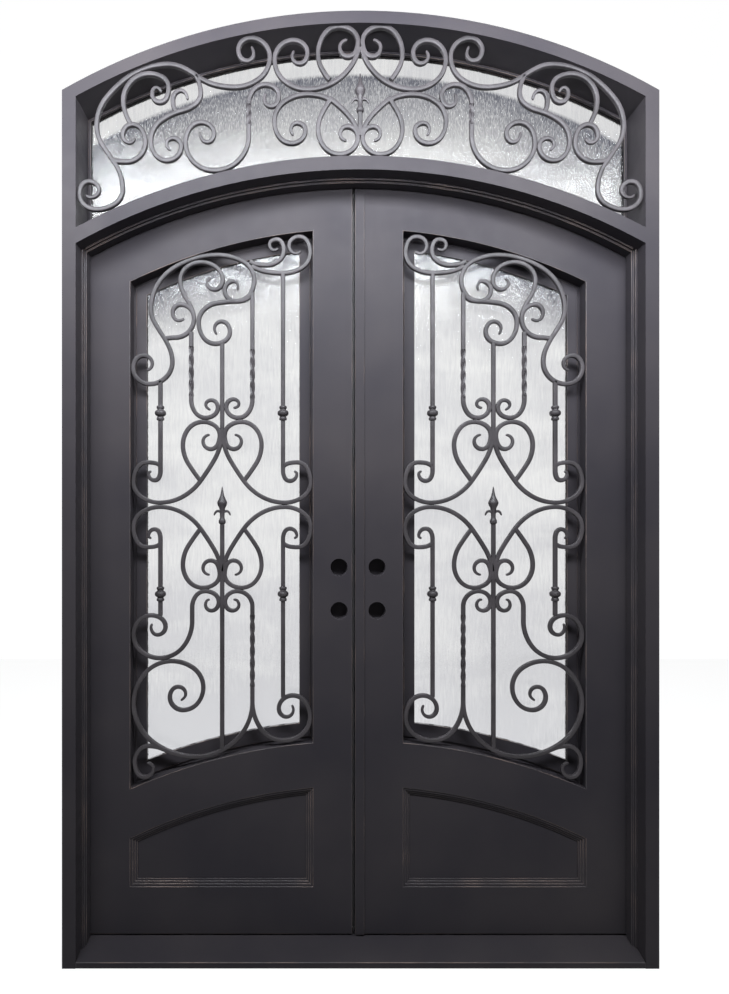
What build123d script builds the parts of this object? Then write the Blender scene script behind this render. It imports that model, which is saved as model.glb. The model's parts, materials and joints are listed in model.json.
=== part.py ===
from build123d import *
import os
from math import atan2, cos, hypot, radians, sin, sqrt

# Double-leaf wrought-iron front door in its frame, with an arched head, an arched transom light,
# two inward-opening leaves and forged scroll grilles in front of glass.
# X runs to the right seen from outside, Y into the house, Z up. The outside faces -Y.
# Depths are measured from the outer face of the frame. The origin is under the middle of the threshold.

# Frame
OVERALL_WIDTH = 1830.0
OVERALL_HEIGHT = 2935.0
FRAME_DEPTH = 152.0
JAMB_FACE = 42.0
ARCH_FACE = 37.0
ARCH_RADIUS = 1844.0
TRANSOM_LIGHT_RISE = 444.0
TRANSOM_FACE = 42.0
TRANSOM_RADIUS = 1842.0
SILL_FRONT_HEIGHT = 19.0
SILL_HEIGHT = 40.0
SILL_SLOPE_DEPTH = 92.0

# Stops that the leaves close against: a low front step and a higher rear one
STOP_SETBACK = 50.0
STOP_STEP_DEPTH = 11.0
STOP_STEP_RISE = 6.5
STOP_PROJECTION = 14.0
HEAD_STOP_PROJECTION = 10.0
STOP_CLEARANCE = 5.5

# Leaves
LEAF_THICKNESS = 50.0
JAMB_CLEARANCE = 6.0
HEAD_CLEARANCE = 5.5
SILL_CLEARANCE = 6.0
MEETING_CENTRE = -14.0
MEETING_GAP = 9.0
OPENING_INNER = 145.5
HINGE_STILE_WIDTH = 134.5
TOP_RAIL_WIDTH = 131.0
MIDDLE_RAIL_CROWN = 666.0
MIDDLE_RAIL_RADIUS = 1817.0
MIDDLE_RAIL_WIDTH = 145.0
BOTTOM_RAIL_TOP = 198.0

# Kick panel and its stepped moulding
PANEL_RECESS = 15.0
MOULDING_STEPS = 3
MOULDING_STEP = 7.0
MOULDING_SETBACK = 3.0
MOULDING_STEP_DEPTH = 4.0

# Glazed sash behind the grille
SASH_RECESS = 45.0
SASH_MARGIN = 8.5
SASH_FACE = 35.0
SASH_BOTTOM_FACE = 46.0
SASH_FLANGE_LAP = 12.0
SASH_FLANGE_THICKNESS = 14.0
GLASS_THICKNESS = 8.0

# Transom light
TRANSOM_BEAD_SETBACK = 120.0
TRANSOM_BEAD_FACE = 8.0
TRANSOM_BEAD_DEPTH = 10.0

# Astragal and meeting seals
ASTRAGAL_WIDTH = 29.0
ASTRAGAL_THICKNESS = 5.5
ASTRAGAL_HEAD_CLEARANCE = 6.0
SEAL_DEPTH = 12.5
SEAL_SETBACK = 0.5
SEAL_TIP_GAP = 0.3

# Lock bores
LOCK_BORE_RADIUS = 27.0
LOCK_BORE_DEPTH = 40.0
LOCK_BORE_X = 61.0
LOCK_BORE_HEIGHTS = (1084.8, 1224.5)

# Barrel hinges on the house side
LOW_HINGE_HEIGHT = 260.0
TOP_HINGE_DROP = 220.0
KNUCKLE_LENGTH = 60.0
KNUCKLE_RADIUS = 12.0
KNUCKLE_GAP = 0.5
PIN_RADIUS = 6.0
PIN_CLEARANCE = 0.1
HINGE_STANDOFF = 14.0
HINGE_PLATE_WIDTH = 35.0
HINGE_PLATE_THICKNESS = 5.0

# Forged bars
BAR = 14.0
TIP_SHARE = 0.55
GRILLE_SETBACK = 4.0
TRANSOM_GRILLE_SETBACK = 10.0
CURL_TAPER = 70.0
LONG_TAPER = 80.0
HOOK_TAPER = 45.0
TWIST_PITCH = 160.0
COLLAR_RADIUS = 18.0
COLLAR_HEIGHT = 46.0
SPEAR_RADIUS = 16.5
SPEAR_HEIGHT = 122.0
SCRAP_VOLUME = 3000.0

# Openings that the grilles are drawn for: they spread with an opening of another size
LEAF_DRAWN_WIDTH = 587.0
LEAF_DRAWN_HEIGHT = 1646.5
TRANSOM_DRAWN_REACH = 873.0
TRANSOM_DRAWN_HEIGHT = 407.0

# Derived places
HALF_WIDTH = OVERALL_WIDTH / 2
INNER_HALF = HALF_WIDTH - JAMB_FACE
ARCH_CENTRE = OVERALL_HEIGHT - ARCH_RADIUS
TRANSOM_CROWN = OVERALL_HEIGHT - TRANSOM_LIGHT_RISE
TRANSOM_CENTRE = TRANSOM_CROWN - TRANSOM_RADIUS
TRANSOM_UNDERSIDE = TRANSOM_RADIUS - TRANSOM_FACE
MIDDLE_CENTRE = MIDDLE_RAIL_CROWN - MIDDLE_RAIL_RADIUS
LEAF_FRONT = FRAME_DEPTH - LEAF_THICKNESS
LEAF_BOTTOM = SILL_HEIGHT + SILL_CLEARANCE
LEAF_EDGE = INNER_HALF - JAMB_CLEARANCE
LEAF_TOP_RADIUS = TRANSOM_UNDERSIDE - HEAD_CLEARANCE
LEAF_CORNER = TRANSOM_CENTRE + sqrt(LEAF_TOP_RADIUS ** 2 - LEAF_EDGE ** 2)
OPENING_OUTER = LEAF_EDGE - HINGE_STILE_WIDTH
OPENING_TOP_RADIUS = LEAF_TOP_RADIUS - TOP_RAIL_WIDTH
OPENING_CROWN = TRANSOM_CENTRE + OPENING_TOP_RADIUS
STOP_BACK = LEAF_FRONT - STOP_CLEARANCE
GRILLE_FRONT = LEAF_FRONT + GRILLE_SETBACK
SPAN = 2 * OVERALL_HEIGHT


def y_at(depth):
    """Y of a depth behind the outer face of the frame."""
    return depth - FRAME_DEPTH / 2


def plate(outline, front, back):
    """A flat outline, drawn in X and Z, made solid between two depths."""
    plane = Plane(origin=(0, y_at(front), 0), x_dir=(1, 0, 0), z_dir=(0, -1, 0))
    return extrude(plane * outline, amount=-(back - front))


def rectangle(x_low, x_high, z_low, z_high):
    """A rectangle in X and Z by its sides."""
    return Pos((x_low + x_high) / 2, (z_low + z_high) / 2) * Rectangle(x_high - x_low, z_high - z_low)


def disc(radius, centre_z):
    """A disc on the door's centre line."""
    return Pos(0, centre_z) * Circle(radius)


def arched(x_low, x_high, z_low, radius, centre_z):
    """A panel with upright sides, a flat foot and an arched head."""
    return rectangle(x_low, x_high, z_low, centre_z + radius) & disc(radius, centre_z)


def on_side(side, shape, drawn=1):
    """The shape itself on the side that it is drawn on, right 1 or left -1, else its mirror image."""
    return shape if side == drawn else mirror(shape, about=Plane.YZ)


# Frame pieces

def jamb(side):
    outline = arched(INNER_HALF, HALF_WIDTH, 0, ARCH_RADIUS - ARCH_FACE, ARCH_CENTRE)
    return on_side(side, plate(outline, 0, FRAME_DEPTH))


def head_arch():
    ring = disc(ARCH_RADIUS, ARCH_CENTRE) - disc(ARCH_RADIUS - ARCH_FACE, ARCH_CENTRE)
    return plate(ring & rectangle(-HALF_WIDTH, HALF_WIDTH, ARCH_CENTRE, SPAN), 0, FRAME_DEPTH)


def transom_bar():
    ring = disc(TRANSOM_RADIUS, TRANSOM_CENTRE) - disc(TRANSOM_UNDERSIDE, TRANSOM_CENTRE)
    return plate(ring & rectangle(-INNER_HALF, INNER_HALF, TRANSOM_CENTRE, SPAN), 0, FRAME_DEPTH)


def threshold():
    profile = Polyline(
        (y_at(0), 0),
        (y_at(0), SILL_FRONT_HEIGHT),
        (y_at(SILL_SLOPE_DEPTH), SILL_HEIGHT),
        (y_at(FRAME_DEPTH), SILL_HEIGHT),
        (y_at(FRAME_DEPTH), 0),
        close=True,
    )
    section = Plane(origin=(-INNER_HALF, 0, 0), x_dir=(0, 1, 0), z_dir=(1, 0, 0)) * make_face(profile)
    return extrude(section, amount=2 * INNER_HALF)


def stop_strip(inset, low, high, front):
    """One step of a jamb stop, from the jamb's face inwards."""
    outline = arched(INNER_HALF - inset, INNER_HALF, low, TRANSOM_UNDERSIDE, TRANSOM_CENTRE)
    return plate(outline & rectangle(0, INNER_HALF, low, high), front, STOP_BACK)


def jamb_stop(side, sill):
    low_step = stop_strip(STOP_STEP_RISE, 0, SPAN, STOP_SETBACK)
    high_step = stop_strip(STOP_PROJECTION, 0, SPAN, STOP_SETBACK + STOP_STEP_DEPTH)
    return on_side(side, low_step + high_step) - sill


def head_stop():
    reach = INNER_HALF - STOP_PROJECTION
    window = rectangle(-reach, reach, TRANSOM_CENTRE, SPAN)
    under = disc(TRANSOM_UNDERSIDE, TRANSOM_CENTRE)
    front_ring = under - disc(TRANSOM_UNDERSIDE - HEAD_STOP_PROJECTION / 2, TRANSOM_CENTRE)
    rear_ring = under - disc(TRANSOM_UNDERSIDE - HEAD_STOP_PROJECTION, TRANSOM_CENTRE)
    low_step = plate(front_ring & window, STOP_SETBACK, STOP_BACK)
    high_step = plate(rear_ring & window, STOP_SETBACK + STOP_STEP_DEPTH, STOP_BACK)
    return low_step + high_step


def transom_outline(inset):
    """The transom light's clear shape, inset by a margin all round."""
    reach = INNER_HALF - inset
    whole = rectangle(-reach, reach, TRANSOM_CENTRE, SPAN)
    below_arch = disc(ARCH_RADIUS - ARCH_FACE - inset, ARCH_CENTRE)
    return (whole & below_arch) - disc(TRANSOM_RADIUS + inset, TRANSOM_CENTRE)


def transom_beads():
    ring = transom_outline(0) - transom_outline(TRANSOM_BEAD_FACE)
    glass_front = TRANSOM_BEAD_SETBACK + TRANSOM_BEAD_DEPTH
    glass_back = glass_front + GLASS_THICKNESS
    front = plate(ring, TRANSOM_BEAD_SETBACK, glass_front)
    rear = plate(ring, glass_back, glass_back + TRANSOM_BEAD_DEPTH)
    return Compound(children=[front, rear])


def transom_glass():
    glass_front = TRANSOM_BEAD_SETBACK + TRANSOM_BEAD_DEPTH
    return plate(transom_outline(0), glass_front, glass_front + GLASS_THICKNESS)


# Leaf pieces, drawn for the right leaf's side of the door and mirrored for the left

def meeting_edge(side):
    """Distance of a leaf's meeting edge from the door's centre line, on its own side."""
    return side * MEETING_CENTRE + MEETING_GAP / 2


def hinge_stile(side):
    outline = arched(OPENING_OUTER, LEAF_EDGE, LEAF_BOTTOM, LEAF_TOP_RADIUS, TRANSOM_CENTRE)
    return on_side(side, plate(outline, LEAF_FRONT, FRAME_DEPTH))


def lock_stile(side):
    outline = arched(meeting_edge(side), OPENING_INNER, LEAF_BOTTOM, LEAF_TOP_RADIUS, TRANSOM_CENTRE)
    stile = plate(outline, LEAF_FRONT, FRAME_DEPTH)
    for height in LOCK_BORE_HEIGHTS:
        hole = Pos(LOCK_BORE_X, height) * Circle(LOCK_BORE_RADIUS)
        stile -= plate(hole, LEAF_FRONT, LEAF_FRONT + LOCK_BORE_DEPTH)
    return on_side(side, stile)


def between_stiles(outline):
    return outline & rectangle(OPENING_INNER, OPENING_OUTER, -SPAN, SPAN)


def top_rail(side):
    ring = disc(LEAF_TOP_RADIUS, TRANSOM_CENTRE) - disc(OPENING_TOP_RADIUS, TRANSOM_CENTRE)
    outline = between_stiles(ring & rectangle(0, HALF_WIDTH, TRANSOM_CENTRE, SPAN))
    return on_side(side, plate(outline, LEAF_FRONT, FRAME_DEPTH))


def middle_rail(side):
    underside = disc(MIDDLE_RAIL_RADIUS - MIDDLE_RAIL_WIDTH, MIDDLE_CENTRE)
    ring = disc(MIDDLE_RAIL_RADIUS, MIDDLE_CENTRE) - underside
    outline = between_stiles(ring & rectangle(0, HALF_WIDTH, 0, SPAN))
    return on_side(side, plate(outline, LEAF_FRONT, FRAME_DEPTH))


def bottom_rail(side):
    outline = rectangle(OPENING_INNER, OPENING_OUTER, LEAF_BOTTOM, BOTTOM_RAIL_TOP)
    return on_side(side, plate(outline, LEAF_FRONT, FRAME_DEPTH))


def kick_outline(inset):
    """The kick panel's opening, inset by a margin all round."""
    return arched(
        OPENING_INNER + inset,
        OPENING_OUTER - inset,
        BOTTOM_RAIL_TOP + inset,
        MIDDLE_RAIL_RADIUS - MIDDLE_RAIL_WIDTH - inset,
        MIDDLE_CENTRE,
    )


def kick_panel(side):
    panel = plate(kick_outline(0), LEAF_FRONT + PANEL_RECESS, FRAME_DEPTH - PANEL_RECESS)
    return on_side(side, panel)


def kick_moulding(side):
    """Two stepped rings, one on each face of the kick panel."""
    rings = []
    for face, way in ((LEAF_FRONT, 1), (FRAME_DEPTH, -1)):
        panel_face = face + way * PANEL_RECESS
        steps = []
        for step in range(MOULDING_STEPS):
            top = face + way * (MOULDING_SETBACK + step * MOULDING_STEP_DEPTH)
            outline = kick_outline(0) - kick_outline((step + 1) * MOULDING_STEP)
            steps.append(plate(outline, min(top, panel_face), max(top, panel_face)))
        rings.append(on_side(side, joined(steps)))
    return Compound(children=rings)


def glazed_outline(inset, foot_inset):
    """The leaf's tall opening, inset at the sides and head, and by its own margin at the foot."""
    tall = arched(
        OPENING_INNER + inset, OPENING_OUTER - inset, 0, OPENING_TOP_RADIUS - inset, TRANSOM_CENTRE
    )
    return tall - disc(MIDDLE_RAIL_RADIUS + foot_inset, MIDDLE_CENTRE)


def sash(side):
    daylight = glazed_outline(SASH_MARGIN + SASH_FACE, SASH_MARGIN + SASH_BOTTOM_FACE)
    neck = glazed_outline(SASH_MARGIN, SASH_MARGIN) - daylight
    flange = glazed_outline(-SASH_FLANGE_LAP, -SASH_FLANGE_LAP) - daylight
    ring = plate(neck, LEAF_FRONT + SASH_RECESS, FRAME_DEPTH)
    ring += plate(flange, FRAME_DEPTH, FRAME_DEPTH + SASH_FLANGE_THICKNESS)
    return on_side(side, ring)


def glass(side):
    daylight = glazed_outline(SASH_MARGIN + SASH_FACE, SASH_MARGIN + SASH_BOTTOM_FACE)
    return on_side(side, plate(daylight, FRAME_DEPTH, FRAME_DEPTH + GLASS_THICKNESS))


def astragal():
    left = MEETING_CENTRE + MEETING_GAP / 2
    top = TRANSOM_CENTRE + TRANSOM_UNDERSIDE - HEAD_STOP_PROJECTION - ASTRAGAL_HEAD_CLEARANCE
    outline = rectangle(left, left + ASTRAGAL_WIDTH, LEAF_BOTTOM, top)
    return plate(outline, LEAF_FRONT - ASTRAGAL_THICKNESS, LEAF_FRONT)


def meeting_seal(side):
    edge = meeting_edge(side)
    reach = (MEETING_GAP - SEAL_TIP_GAP) / 2
    outline = arched(edge - reach, edge, LEAF_BOTTOM, LEAF_TOP_RADIUS, TRANSOM_CENTRE)
    back = FRAME_DEPTH - SEAL_SETBACK
    return on_side(side, plate(outline, back - SEAL_DEPTH, back))


# Hinges

HINGE_X = INNER_HALF - JAMB_CLEARANCE / 2
HINGE_Y = y_at(FRAME_DEPTH) + HINGE_STANDOFF
TOP_HINGE_HEIGHT = LEAF_CORNER - TOP_HINGE_DROP
HINGE_HEIGHTS = (LOW_HINGE_HEIGHT, (LOW_HINGE_HEIGHT + TOP_HINGE_HEIGHT) / 2, TOP_HINGE_HEIGHT)


def hinge_plate(x_low, x_high, low):
    outline = rectangle(x_low, x_high, low, low + KNUCKLE_LENGTH)
    return plate(outline, FRAME_DEPTH, FRAME_DEPTH + HINGE_PLATE_THICKNESS)


def upright_rod(radius, low, high):
    """A round rod on the hinge line."""
    return Pos(HINGE_X, HINGE_Y, (low + high) / 2) * Cylinder(radius, high - low)


def frame_hinges(side):
    """The lower knuckles with their pins, on plates on the jamb."""
    pieces = []
    for height in HINGE_HEIGHTS:
        low = height - KNUCKLE_LENGTH - KNUCKLE_GAP / 2
        top = height + KNUCKLE_LENGTH + KNUCKLE_GAP / 2
        web = rectangle(HINGE_X - PIN_RADIUS, HINGE_X + PIN_RADIUS, low, low + KNUCKLE_LENGTH)
        knuckle = upright_rod(KNUCKLE_RADIUS, low, low + KNUCKLE_LENGTH)
        knuckle += hinge_plate(HINGE_X, HINGE_X + HINGE_PLATE_WIDTH, low)
        knuckle += plate(web, FRAME_DEPTH, FRAME_DEPTH + HINGE_STANDOFF)
        knuckle += upright_rod(PIN_RADIUS, low, top)
        pieces.append(on_side(side, knuckle))
    return Compound(children=pieces)


def leaf_hinges(side):
    """The upper knuckles, bored for the pins, on plates on the leaf."""
    pieces = []
    for height in HINGE_HEIGHTS:
        low = height + KNUCKLE_GAP / 2
        high = low + KNUCKLE_LENGTH
        web = rectangle(HINGE_X - PIN_RADIUS, HINGE_X + PIN_RADIUS, low, high)
        knuckle = upright_rod(KNUCKLE_RADIUS, low, high)
        knuckle += hinge_plate(HINGE_X - HINGE_PLATE_WIDTH, HINGE_X, low)
        knuckle += plate(web, FRAME_DEPTH, FRAME_DEPTH + HINGE_STANDOFF)
        knuckle -= upright_rod(PIN_RADIUS + PIN_CLEARANCE, low, high)
        pieces.append(on_side(side, knuckle))
    return Compound(children=pieces)


# Forged bars. A bar is bent flat: its centre line is a list of stations (x, z, heading in degrees),
# joined by pairs of tangent arcs, and its ends may be forged to a taper.

def turned(direction, angle):
    return (
        direction[0] * cos(angle) - direction[1] * sin(angle),
        direction[0] * sin(angle) + direction[1] * cos(angle),
    )


def biarc_joint(start, start_way, end, end_way):
    """Where two tangent arcs from one station to the next meet."""
    gap = (end[0] - start[0], end[1] - start[1])
    total = (start_way[0] + end_way[0], start_way[1] + end_way[1])
    along = gap[0] * total[0] + gap[1] * total[1]
    reach = gap[0] ** 2 + gap[1] ** 2
    spread = 2 * (1 - start_way[0] * end_way[0] - start_way[1] * end_way[1])
    if spread < 1e-9:
        length = reach / (4 * (gap[0] * end_way[0] + gap[1] * end_way[1]))
    else:
        length = (sqrt(along ** 2 + spread * reach) - along) / spread
    return (
        (start[0] + end[0] + length * (start_way[0] - end_way[0])) / 2,
        (start[1] + end[1] + length * (start_way[1] - end_way[1])) / 2,
    )


def bends(stations):
    """The bar's centre line as arcs: start, way at the start, middle, way there, end, way there, length."""
    arcs = []
    for (x0, z0, a0), (x1, z1, a1) in zip(stations, stations[1:]):
        way0 = (cos(radians(a0)), sin(radians(a0)))
        way1 = (cos(radians(a1)), sin(radians(a1)))
        joint = biarc_joint((x0, z0), way0, (x1, z1), way1)
        point, way = (x0, z0), way0
        for end in (joint, (x1, z1)):
            chord = (end[0] - point[0], end[1] - point[1])
            turn = atan2(way[0] * chord[1] - way[1] * chord[0], way[0] * chord[0] + way[1] * chord[1])
            size = hypot(*chord)
            half = size / 2 if abs(turn) < 1e-6 else size * sin(turn / 2) / sin(turn)
            middle_way = turned(way, turn)
            lean = turned(way, turn / 2)
            middle = (point[0] + half * lean[0], point[1] + half * lean[1])
            length = size if abs(turn) < 1e-6 else size * turn / sin(turn)
            end_way = turned(way, 2 * turn)
            arcs.append((point, way, middle, middle_way, end, end_way, length))
            point, way = end, end_way
    return arcs


def bar_outline(stations, taper_start=0.0, taper_end=0.0, width=BAR):
    """The bar's face: both sides of its centre line, narrowed over a length at a tapered end."""
    arcs = bends(stations)
    total = sum(arc[6] for arc in arcs)

    def half_width(place):
        share = 1.0
        if taper_start:
            share = min(share, TIP_SHARE + (1 - TIP_SHARE) * place / taper_start)
        if taper_end:
            share = min(share, TIP_SHARE + (1 - TIP_SHARE) * (total - place) / taper_end)
        return share * width / 2

    def beside(point, way, place, hand):
        offset = hand * half_width(place)
        return (point[0] - offset * way[1], point[1] + offset * way[0])

    sides = []
    for hand in (1, -1):
        place = 0.0
        edges = []
        for point, way, middle, middle_way, end, end_way, length in arcs:
            first = beside(point, way, place, hand)
            second = beside(middle, middle_way, place + length / 2, hand)
            third = beside(end, end_way, place + length, hand)
            bow = abs((third[0] - first[0]) * (second[1] - first[1])
                      - (third[1] - first[1]) * (second[0] - first[0]))
            if bow < 1e-3 * hypot(third[0] - first[0], third[1] - first[1]):
                edges.append(Line(first, third))
            else:
                edges.append(ThreePointArc(first, second, third))
            place += length
        sides.append((edges, edges[0] @ 0, edges[-1] @ 1))
    (left, left_start, left_end), (right, right_start, right_end) = sides
    return make_face([*left, Line(left_end, right_end), *right, Line(right_start, left_start)])


def bar_solid(stations, front, **options):
    return plate(bar_outline(stations, **options), front, front + BAR)


def joined(solids):
    """Bars welded where they meet."""
    first, *rest = solids
    return first.fuse(*rest) if rest else first


def twisted_bar(x, low, high, front):
    """A square bar twisted over its whole length, with its ends square to the grille."""
    turns = max(1, round((high - low) / TWIST_PITCH * 4)) / 4
    section = Rectangle(BAR, BAR)
    bar = Solid.extrude_linear_with_rotation(
        section.face(), (0, 0, 0), (0, 0, high - low), 360.0 * turns
    )
    return Pos(x, y_at(front) + BAR / 2, low) * bar


def turned_piece(x, front, profile):
    """A turned piece on the axis of an upright bar, from radii and heights."""
    outline = make_face(Polyline(*[(radius, height) for radius, height in profile], close=True))
    section = Plane(origin=(0, 0, 0), x_dir=(1, 0, 0), z_dir=(0, -1, 0)) * outline
    return Pos(x, y_at(front) + BAR / 2, 0) * revolve(section, Axis.Z)


def collar(x, middle, front):
    """A turned collar: a rounded belt between two smaller rings, threaded on a square bar."""
    half = COLLAR_HEIGHT / 2
    ring = 0.68 * COLLAR_RADIUS
    neck = 0.55 * COLLAR_RADIUS
    profile = (
        (0, middle - half),
        (ring, middle - half),
        (ring, middle - 0.62 * half),
        (neck, middle - 0.45 * half),
        (COLLAR_RADIUS, middle - 0.12 * half),
        (COLLAR_RADIUS, middle + 0.12 * half),
        (neck, middle + 0.45 * half),
        (ring, middle + 0.62 * half),
        (ring, middle + half),
        (0, middle + half),
    )
    hole = rectangle(x - BAR / 2, x + BAR / 2, middle - half, middle + half)
    return turned_piece(x, front, profile) - plate(hole, front, front + BAR)


# Leaf grille, drawn as the left leaf's, seen from outside: X from the lock-side edge of the opening,
# Z from the crown of the middle rail

CENTRE_BAR = -292.5
MIRROR_HEIGHT = 760.0
OUTER_BAR = -492.0
INNER_BAR = -96.0
OUTER_TWIST = -392.5
INNER_TWIST = -195.0
OUTER_TWIST_SPAN = (1111.0, 1271.0)
INNER_TWIST_SPAN = (1104.0, 1261.0)
FOOT_TWIST_SPAN = (173.0, 404.0)
COLLAR_LEVELS = (1056.0, 472.0)
SPEAR_BASE = 697.0


def leaf_x(drawn):
    return drawn * (OPENING_OUTER - OPENING_INNER) / LEAF_DRAWN_WIDTH - OPENING_INNER


def leaf_z(drawn):
    return drawn * (OPENING_CROWN - MIDDLE_RAIL_CROWN) / LEAF_DRAWN_HEIGHT + MIDDLE_RAIL_CROWN


def leaf_bar(stations, **options):
    return bar_outline([(leaf_x(x), leaf_z(z), a) for x, z, a in stations], **options)


def across(stations):
    """The same bend, mirrored about the grille's upright centre bar."""
    return [(2 * CENTRE_BAR - x, z, 180 - a) for x, z, a in stations]


def below(stations):
    """The same bend, mirrored about the level middle of the grille."""
    return [(x, 2 * MIRROR_HEIGHT - z, -a) for x, z, a in stations]


def leaf_scroll_outlines():
    crown = [
        (-243.5, 1452, 70), (-255.5, 1482, 180), (-284.5, 1452, 270), (-246.5, 1417, 0), (-188.5, 1484, 90),
        (-306.5, 1566, 180), (-522.5, 1392, 270), (-486.5, 1309, 304), (-453.5, 1221, 270),
        (-526.5, 1150, 180), (-579.5, 1202, 90), (-546.5, 1242, 0), (-518.5, 1216, 270), (-537.5, 1195, 180),
    ]
    under_crown = [
        (-204.5, 1432, 230), (-254.5, 1417, 180), (-306.5, 1412, 187), (-368.5, 1349, 270), (-314.5, 1280, 0),
        (-267.5, 1319, 90), (-294.5, 1352, 180), (-317.5, 1329, 270), (-310.5, 1310, 300),
    ]
    hinge_side_curl = [
        (-476.5, 1296, 15), (-444.5, 1300, 0), (-383.5, 1361, 90), (-426.5, 1407, 180), (-452.5, 1379, 270),
        (-432.5, 1355, 0), (-415.5, 1362, 45),
    ]
    inner_loop = [
        (-384.5, 1374, 105), (-427.5, 1484, 90), (-359.5, 1543, 0), (-290.5, 1484, 270), (-317.5, 1455, 180),
        (-341.5, 1476, 90), (-328.5, 1492, 20),
    ]
    lock_side_curl = [
        (-196.5, 1530, 330), (-94.5, 1508, 0), (-8.5, 1574, 90), (-43.5, 1625, 180), (-76.5, 1596, 270),
        (-54.5, 1571, 0), (-38.5, 1580, 45),
    ]
    small_curl = [
        (-202.5, 1546, 325), (-149.5, 1534, 0), (-93.5, 1581, 90), (-116.5, 1616, 180), (-139.5, 1599, 270),
        (-125.5, 1582, 0), (-111.5, 1588, 40),
    ]
    outer_hook = [
        (OUTER_TWIST, OUTER_TWIST_SPAN[0], 270), (OUTER_TWIST, 1099, 270),
        (-345.5, 1041, 0), (-306.5, 1074, 90), (-327.5, 1098, 180), (-345.5, 1083, 270), (-330.5, 1066, 330),
    ]
    inner_hook = [
        (INNER_TWIST, INNER_TWIST_SPAN[0], 270), (INNER_TWIST, 1099, 270),
        (-241.5, 1041, 180), (-279.5, 1076, 90), (-256.5, 1101, 0), (-238.5, 1086, 270), (-256.5, 1073, 180),
    ]
    heart = [
        (-362.5, 837, 128), (-419.5, 954, 90), (-354.5, 1028, 0), (-300.5, 984, 270), (-329.5, 940, 180),
        (-354.5, 965, 90), (-332.5, 986, 0),
    ]
    big_c = [
        (-294.5, 974, 262), (-362.5, 837, 234), (-494.5, 767, 180), (-578.5, 834, 90), (-534.5, 897, 0),
        (OUTER_BAR, 886, 320),
    ]
    lower_outer = [
        (-332.5, 453, 160), (-346.5, 437, 270), (-327.5, 418, 0), (-303.5, 446, 90), (-346.5, 481, 180),
        (-389.5, 429, 270), (-389.5, 384, 270), (-494.5, 265, 180), (-578.5, 340, 90), (-521.5, 403, 0),
        (-475.5, 366, 270), (-501.5, 340, 180), (-522.5, 364, 90), (-518.5, 376, 60),
    ]
    lower_inner_curl = [
        (-256.5, 453, 20), (-238.5, 437, 270), (-258.5, 418, 180), (-283.5, 446, 90), (-244.5, 481, 0),
        (INNER_TWIST, 432, 270), (INNER_TWIST, FOOT_TWIST_SPAN[1], 270),
    ]
    lock_side_foot = [
        (INNER_TWIST, FOOT_TWIST_SPAN[0], 270), (INNER_TWIST, 124, 270),
        (-94.5, -1, 0), (-8.5, 74, 90), (-64.5, 144, 180), (-109.5, 102, 270), (-84.5, 75, 0),
        (-62.5, 98, 90), (-67.5, 113, 120),
    ]
    hinge_side_foot = [
        (INNER_TWIST, 124, 270), (-379.5, -53, 180), (-578.5, 119, 90), (-454.5, 255, 0), (-353.5, 170, 270),
        (-418.5, 97, 180), (-461.5, 139, 90), (-434.5, 172, 0), (-410.5, 149, 270), (-426.5, 128, 210),
    ]
    corner_curl = [
        (-480, -30, 153), (-530, -19, 180), (-574.5, -69, 270), (-542.5, -119, 0), (-514.5, -92, 90),
        (-535.5, -74, 180),
    ]
    carrying = [
        leaf_bar(crown, taper_start=CURL_TAPER, taper_end=CURL_TAPER),
        leaf_bar(under_crown, taper_end=LONG_TAPER),
        leaf_bar(lock_side_curl, taper_end=LONG_TAPER),
        leaf_bar(lock_side_foot, taper_end=LONG_TAPER),
        leaf_bar(hinge_side_foot, taper_end=LONG_TAPER),
    ]
    carrying += [
        leaf_bar(path, taper_end=CURL_TAPER)
        for path in (hinge_side_curl, inner_loop, small_curl, corner_curl)
    ]
    passing = [
        leaf_bar(outer_hook, taper_end=CURL_TAPER),
        leaf_bar(inner_hook, taper_end=CURL_TAPER),
        leaf_bar(lower_outer, taper_start=CURL_TAPER, taper_end=CURL_TAPER),
        leaf_bar(lower_inner_curl, taper_start=CURL_TAPER),
    ]
    for shape in (heart, across(heart), below(heart), below(across(heart))):
        passing.append(leaf_bar(shape, taper_end=CURL_TAPER))
    for shape in (big_c, across(big_c), below(big_c), below(across(big_c))):
        passing.append(leaf_bar(shape))
    return carrying, passing


def leaf_bar_outlines():
    """The upright bars that run plain, some with a hook at one end."""
    outer_hook = [(OUTER_BAR, 869, 270), (-511, 839, 180), (-530.5, 860, 90), (-521.5, 869, 30)]
    inner_hook = [(INNER_BAR, 869, 270), (-73.5, 837, 0), (-51.5, 860, 90), (-60.5, 869, 150)]
    hooked = [
        [(OUTER_BAR, 1164, 270), *outer_hook],
        [(INNER_BAR, 1514, 270), *inner_hook],
        [(OUTER_BAR, 402, 90), *below(outer_hook)],
        [(INNER_BAR, 139, 90), *below(inner_hook)],
    ]
    plain = [
        [(CENTRE_BAR, 1284, 270), (CENTRE_BAR, 974, 270)],
        [(CENTRE_BAR, -26, 90), (CENTRE_BAR, SPEAR_BASE, 90)],
        [(OUTER_TWIST, 1318, 270), (OUTER_TWIST, OUTER_TWIST_SPAN[1], 270)],
        [(INNER_TWIST, 1444, 270), (INNER_TWIST, INNER_TWIST_SPAN[1], 270)],
    ]
    return [leaf_bar(path, taper_end=HOOK_TAPER) for path in hooked] + [leaf_bar(path) for path in plain]


def largest(shape):
    """The main solid of a piece, without the scraps that a cut leaves."""
    return max(shape.solids(), key=lambda piece: piece.volume)


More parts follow.
